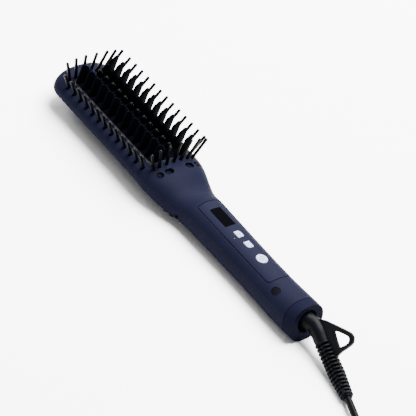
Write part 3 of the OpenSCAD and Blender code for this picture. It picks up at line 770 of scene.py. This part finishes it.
mark("key_mark_plus", [bar(200.0, 200.4, -1.4, 1.2, 0.4, 0.62), bar(198.9, 201.5, -0.35, 0.05, 0.4, 0.63)], "up_button")
mark("key_mark_minus", [bar(211.7, 212.1, -1.4, 1.2, 0.4, 0.62)], "down_button")
ring = []
arc = [(227.56 + 1.75 * math.cos(t), 1.75 * math.sin(t), 0.5) for t in [math.radians(40 + 280 * i / 28) for i in range(29)]]
ring.append(sweep(arc, 0.16, 8))
ring.append(sweep([(227.9, 0, 0.5), (228.7, 0, 0.5), (229.6, 0, 0.48)], 0.16, 8))
mark("key_mark_power", ring, "on_button")

# display: a dark window with a soft frame
disp = obj_of("display_pane", *prism(rr(171.3, 190.5, -5, 5, 0.8), -1.7, -0.12))
finish_piece(disp, "display", "handle", ["display_window"], 30)
lens = obj_of("status_light", *spin([(0.7, -5), (0.7, -0.55), (0.55, -0.35), (0.25, -0.25)], (202.6, -6.2, 0), (0, 0, 1), 20))
finish_piece(lens, "lens", "handle", ["status_lens"], 50)

# screw covers
parts = []
for s in (-1, 1):
    parts.append(spin([(2.5, -2), (2.5, -1.1), (2.3, -0.9), (1.6, -1.15), (0.3, -1.25)], (127.3, s * 18.1, 0), (0, 0, 1), 36))
d = lean_dir(-26.5)
parts.append(spin([(3.5, -1.2), (3.5, -0.25), (3.3, -0.05), (2.7, 0.0), (0.4, 0.08)], (257.2, -10.45, -2.1), d, 44))
covers = obj_of("screw_caps", *join_data(parts))
finish_piece(covers, "dark_trim", "handle", ["screw_covers"], 40)


# ---------------------------------------------------------- the comb plate
def soft_poly(pts, cut=0.45, times=3, flat=0):
    """Rounds a polygon's corners; `flat` is not used."""
    p = [np.array(q, float) for q in pts]
    for _ in range(times):
        q = []
        for i in range(len(p)):
            a_, b_ = p[i], p[(i + 1) % len(p)]
            q.append(a_ + (b_ - a_) * 0.25)
            q.append(a_ + (b_ - a_) * 0.75)
        p = q
    return [tuple(q) for q in p]


FIN = [
    (6, -1), (6.05, 8.7), (6.7, 11.6), (7.9, 13), (9, 13.2), (10, 12.8), (10.6, 12.0), (10.7, 14.1), (11.3, 15.9),
    (12.2, 16.9), (13, 17.0), (13.4, 17.3), (13.9, 18.1), (14.9, 19.1), (16.1, 19.3), (17.2, 18.9), (17.85, 17.7), (18, 16.1), (18, -1),
]


def blade(x, s, th=1.8, edge=0.35):
    """One fin: three domes rising toward the comb's edge, rims rolled over."""
    p = [np.array(q, float) for q in FIN]
    poly = [p[0]]
    for i in range(1, len(p) - 1):
        poly += [p[i] * 0.75 + p[i - 1] * 0.25, p[i] * 0.75 + p[i + 1] * 0.25]
    poly += [p[-1]]
    poly = poly[::-1]
    n = len(poly)
    layers = [(-th / 2, edge)] + [(-th / 2 + edge * (1 - math.cos(math.pi / 2 * i / 3)), edge * (1 - math.sin(math.pi / 2 * i / 3))) for i in (1, 2, 3)]
    layers += [(-a_, b_) for a_, b_ in layers[::-1]]
    nrm = []
    for i in range(n):
        t = poly[(i + 1) % n] - poly[i - 1]
        t = t / (np.linalg.norm(t) + 1e-9)
        nrm.append(np.array((t[1], -t[0])))
    v = []
    for dx, inset in layers:
        for q, m_ in zip(poly, nrm):
            c = q - m_ * inset
            v.append((x + dx, s * c[0], c[1]))
    m = len(layers)
    f = [[j * n + i, j * n + (i + 1) % n, (j + 1) * n + (i + 1) % n, (j + 1) * n + i] for j in range(m - 1) for i in range(n)]
    f += [list(range(n))[::-1], [(m - 1) * n + i for i in range(n)]]
    return v, f


base = obj_of("plate_floor", *prism(rr(19.2, 115.7, -18.05, 18.05, 2.8), -1.4, 0.5))
boolean(base, [rod_z(24.4 + PITCH * i, 0, -3, 3, 2.15) for i in range(12)])
parts = []
for k_ in range(13):
    for s in (-1, 1):
        parts.append(blade(21.3 + PITCH * k_, s))
teeth = fix_normals(obj_of("comb_teeth", *join_data(parts)))
finish_piece(base, "plate", "handle", ["heater_plate"], 30)
finish_piece(teeth, "plate", "handle", (), 50)

# rim of the insert: a narrow rounded band around the plate
inner = rr(19.12, 115.78, -18.13, 18.13, 2.88, 8)
outer = rr(18.6, 116.6, -18.9, 18.9, 3.5, 8)
n = len(inner)
loops = []
for (pa, wa), z in (((inner, 1.0), -5.0), ((inner, 1.0), 1.0), ((inner, 0.75), 1.35), ((inner, 0.4), 1.5), ((inner, 0.15), 1.38), ((inner, 0.0), 1.05), ((inner, 0.0), -5.0)):
    loops.append([(a_[0] * wa + b_[0] * (1 - wa), a_[1] * wa + b_[1] * (1 - wa), z) for a_, b_ in zip(inner, outer)])
v = [p for l_ in loops for p in l_]
m = len(loops)
f = [[j * n + i, j * n + (i + 1) % n, (j + 1) % m * n + (i + 1) % n, (j + 1) % m * n + i] for j in range(m) for i in range(n)]
rim = fix_normals(obj_of("insert_rim", v, f))
finish_piece(rim, "rim", "handle", ["plate_frame"], 60)

# steam posts: a domed top with a small flat
parts = [box(20.2, 115.2, -3, 3, -4, -1.5)]
for i in range(12):
    x = 24.4 + PITCH * i
    prof = [(2.1, -2), (2.1, 9.8)]
    for j in range(1, 9):
        t = math.pi / 2 * j / 10.5
        prof.append((2.1 * math.cos(t), 9.9 + 2.1 * math.sin(t)))
    prof += [(0.75, 11.99), (0.4, 12.0)]
    parts.append(spin(prof, (x, 0, 0), (0, 0, 1), 28))
posts = fix_normals(obj_of("steam_posts", *join_data(parts)))
finish_piece(posts, "posts", "handle", ["steam_nozzles"], 50)


# outer pins: tapered, with a ball tip and a small collar at the root
def pin(at, d, length, r=1.22, back=4.4, tip=1.25):
    prof = [(r * 1.12, -back), (r * 1.12, -0.4), (r * 1.1, 1.0)]
    for i in range(1, 6):
        prof.append((r * (1.06 - 0.1 * i / 5), 1.0 + (length - 3.6) * i / 5))
    prof.append((tip * 0.94, length - 1.9))
    for j in range(0, 8):
        t = math.pi / 2 * j / 7.2
        prof.append((tip * math.cos(t), length - tip + tip * math.sin(t)))
    return spin(prof, at, d, 18)


for s, name in ((-1, "left"), (1, "right")):
    parts = [pin((x, s * SIDE_Y, SIDE_Z), lean_dir(s * LEAN), 18.4) for x in SIDE_X]
    parts.append(box(17.5, 117.8, min(s * 19.4, s * 21.8), max(s * 19.4, s * 21.8), -7.6, -6.4))
    o = fix_normals(obj_of("pins_" + name, *join_data(parts)))
    finish_piece(o, "pins", "handle", ["bristles_" + name], 50)
for x, name in ((END_X[0], "tip"), (END_X[1], "neck")):
    more = (2.4, 2.4, 1.3, 0, 0, 0, 0) if name == "tip" else (0,) * 7
    parts = [pin((x, y, end_z(y)), lean_dir(a_), 20 + e) for y, a_, e in zip(END_Y, END_LEAN, more)]
    parts.append(box(x - 1.4, x + 1.4, -19.4, 19.4, -5, -3.8))
    o = fix_normals(obj_of("pins_" + name, *join_data(parts)))
    finish_piece(o, "pins", "handle", ["bristles_" + name], 50)

# ------------------------------------------------------------ the cord end
bend = Vector((292, 1.2, -8.4))
ball = Vector((284.6, 0, -9))


def loop_at(u, t, w):
    """A point of the hanging loop's own plane: u along, w up, t across."""
    c, s = math.cos(math.radians(-22)), math.sin(math.radians(-22))
    return (285.7 + u, c * t - s * w, -11.6 + s * t + c * w)


elbow = []
elbow.append(spin([(4.6, 0), (4.6, 6.4), (5.5, 6.4), (5.5, 9.0), (4.6, 9.0), (4.6, 17)], (266.6, 0, -9), (1, 0, 0), 40))
shaft = fix_normals(obj_of("swivel_shaft", *join_data(elbow)))
finish_piece(shaft, "boot", "swivel", (), 40)

blend_parts = []
path = spline([tuple(ball + Vector((-3.5, 0, 0))), tuple(ball), tuple(ball.lerp(bend, 0.5)), tuple(bend), tuple(bend.lerp(root, 0.35) + Vector((0.4, 0, 0.5))), tuple(bend.lerp(root, 0.7) + Vector((0.2, 0, 0.2))), tuple(root), tuple(root + relief_dir(0) * 2.2)], 6)
rad = []
for i in range(len(path)):
    q = i / (len(path) - 1)
    rad.append(float(np.interp(q, [0, 0.08, 0.16, 0.4, 0.6, 0.8, 1.0], [4.8, 6.1, 6.6, 6.3, 6.1, 5.8, 5.4])))
blend_parts.append(sweep(path, rad, 40))
OUTER = [(5.2, 4), (5.4, 10.6), (21.9, 16.6), (31.5, 20), (34.4, 20.2), (36.8, 19.2), (38.4, 17.2), (39.4, 14.4), (35.6, 2.8), (36, 0.4), (33, -2), (18, 1.5)]
INNER = [(21.5, 11.5), (32.2, 5.8), (33, 6.1), (36, 12.3), (36, 14.6), (34.6, 16.6), (32.6, 16.9), (21.7, 12.6)]
loop = obj_of("hanging_loop", *prism([(u, w) for u, w in soft_poly(OUTER, times=2)], -1.8, 1.8, lambda p: loop_at(p[0], p[2], p[1])))
fix_normals(loop)
boolean(loop, [prism([(u, w) for u, w in soft_poly(INNER, times=2)], -6, 6, lambda p: loop_at(p[0], p[2], p[1]))])
tubes = [obj_of("t", *p) for p in blend_parts]
for t in tubes:
    fix_normals(t)
bpy.ops.object.select_all(action="DESELECT")
for t in tubes + [loop]:
    t.select_set(True)
bpy.context.view_layer.objects.active = loop
bpy.ops.object.join()
md = loop.modifiers.new("r", "REMESH")
md.mode, md.voxel_size, md.use_smooth_shade = "VOXEL", 0.00042, True
sm = loop.modifiers.new("s", "SMOOTH")
sm.factor, sm.iterations = 0.5, 9
freeze(loop)
finish_piece(loop, "boot", "swivel", ["cord_elbow", "hang_loop"], 180)


# strain relief: a core and fifteen ribs, each broken into nubs
def ribs(t):
    c = abs(math.sin(2 * t + math.radians(50)))
    return 1.0 - 0.13 * max(0.0, 1 - (c / 0.34) ** 2)


parts = []
for k_ in range(15):
    d = relief_dir(3.2 * k_ + 1.6)
    r = 6.45 - max(0, k_ - 8) * 0.24
    parts.append(spin([(3.5, 0.1), (r - 0.7, 0.15), (r - 0.22, 0.32), (r, 0.7), (r, 1.4), (r - 0.22, 1.78), (r - 0.7, 1.95), (3.5, 2.0)], relief_pts[k_], d, 64, ribs))
core = [tuple(p) for p in relief_pts]
parts.append(sweep(core, 3.7, 28))
for k_ in range(14):
    a_, b_ = relief_pts[k_], relief_pts[k_ + 1]
    d = (b_ - a_).normalized()
    s_, u_, w_ = basis(d)
    for q in range(2):
        t = math.radians(45 + 90 * (k_ % 2) + 180 * q)
        off = (s_ * math.cos(t) + u_ * math.sin(t)) * 3.9
        parts.append(sweep([tuple(a_ + off + d * 1.6), tuple(b_ + off + d * 0.6)], 1.0, 10))
relief = fix_normals(obj_of("strain_relief_ribs", *join_data(parts)))
finish_piece(relief, "boot", "swivel", ["strain_relief"], 40)

# ------------------------------------------------- tank, latch and fittings
def tank_section(w, z0, z1, r):
    p = [(w, z1), (-w, z1)]
    for i in range(9):
        t = math.radians(180 + 90 * i / 8)
        p.append((-w + r + r * math.cos(t), z0 + r + r * math.sin(t)))
    for i in range(9):
        t = math.radians(270 + 90 * i / 8)
        p.append((w - r + r * math.cos(t), z0 + r + r * math.sin(t)))
    return p


def along(poly, x0, x1):
    return prism(poly, x0, x1, lambda p: (p[2], p[0], p[1]))


tank = fix_normals(obj_of("tank_shell", *along(tank_section(17, -26.4, -14.2, 8), 20, 137)))
keep(tank, *prism(rr(20, 137, -17, 17, 7, 10), -30, -10))
boolean(tank, [along(tank_section(15.4, -24.8, -15.8, 6.4), 21.6, 135.4), rod_z(128, -9, -20, -10, 4.2), rod_z(60, 0, -30, -20, 6), rod_z(60, 0, -30, -25.6, 7.2, 56)])
finish_piece(tank, "tank", "tank", ["water_tank"], 30)

# the latch's spring: a wire coil
turns = [(154.1 + 4.5 * i / 90, 2.2 * math.cos(2 * math.pi * i / 18), -20.4 + 2.2 * math.sin(2 * math.pi * i / 18)) for i in range(91)]
coil = fix_normals(obj_of("latch_coil", *sweep(turns, 0.34, 10)))
finish_piece(coil, "steel", "handle", ["latch_spring"], 60)
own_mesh(coil)

plain = {
    "casing_screws": "steel", "steam_chamber": "chamber", "heater_element": "ceramic", "heat_shield": "steel", "thermal_fuse": "ceramic",
    "temperature_sensor": "sensor", "tank_seal": "seal", "filler_plug": "dark_trim", "tank_latch": "casing",
    "water_pump": "pump", "inlet_hose": "hose", "outlet_hose": "hose", "tact_switches": "black", "control_board": "board", "display_module": "black",
    "swivel_socket": "black", "contact_rings": "brass",
}
for name, mat in plain.items():
    o = NODES[name]
    o.data.materials.clear()
    o.data.materials.append(M[mat])
for name, o in NODES.items():
    if name not in plain:
        o.data.materials.clear()
        o.data.materials.append(M["black"])

# ------------------------------------------------------- floor and lights
bm = bmesh.new()
bmesh.ops.create_grid(bm, x_segments=2, y_segments=2, size=6)
me = bpy.data.meshes.new("floor")
bm.to_mesh(me)
bm.free()
floor = scene_link(bpy.data.objects.new("floor", me))
fm = plastic("studio_floor", (0.93, 0.93, 0.935), 0.9, 40, 0.02, 0.01, 300, 0.1)
me.materials.append(fm)


def area(name, at, aim, size, power, colour=(1, 1, 1)):
    l_ = bpy.data.lights.new(name, "AREA")
    l_.shape, l_.size, l_.energy, l_.color = "DISK", size, power, colour
    o = scene_link(bpy.data.objects.new(name, l_))
    o.location = at
    o.rotation_euler = (Vector(aim) - Vector(at)).to_track_quat("-Z", "Y").to_euler()
    return o


area("top", (-0.1, 0.5, 1.9), (0, 0, 0), 1.6, 350)
area("back", (-1.0, 1.35, 1.25), (0, 0, 0), 1.1, 78)
area("left", (-1.9, -0.25, 1.0), (0, 0, 0.02), 1.0, 34)
w = bpy.data.worlds.new("studio")
bpy.context.scene.world = w
w.use_nodes = True
w.node_tree.nodes["Background"].inputs["Color"].default_value = (1, 1, 1, 1)
w.node_tree.nodes["Background"].inputs["Strength"].default_value = 0.54

bpy.context.view_layer.update()
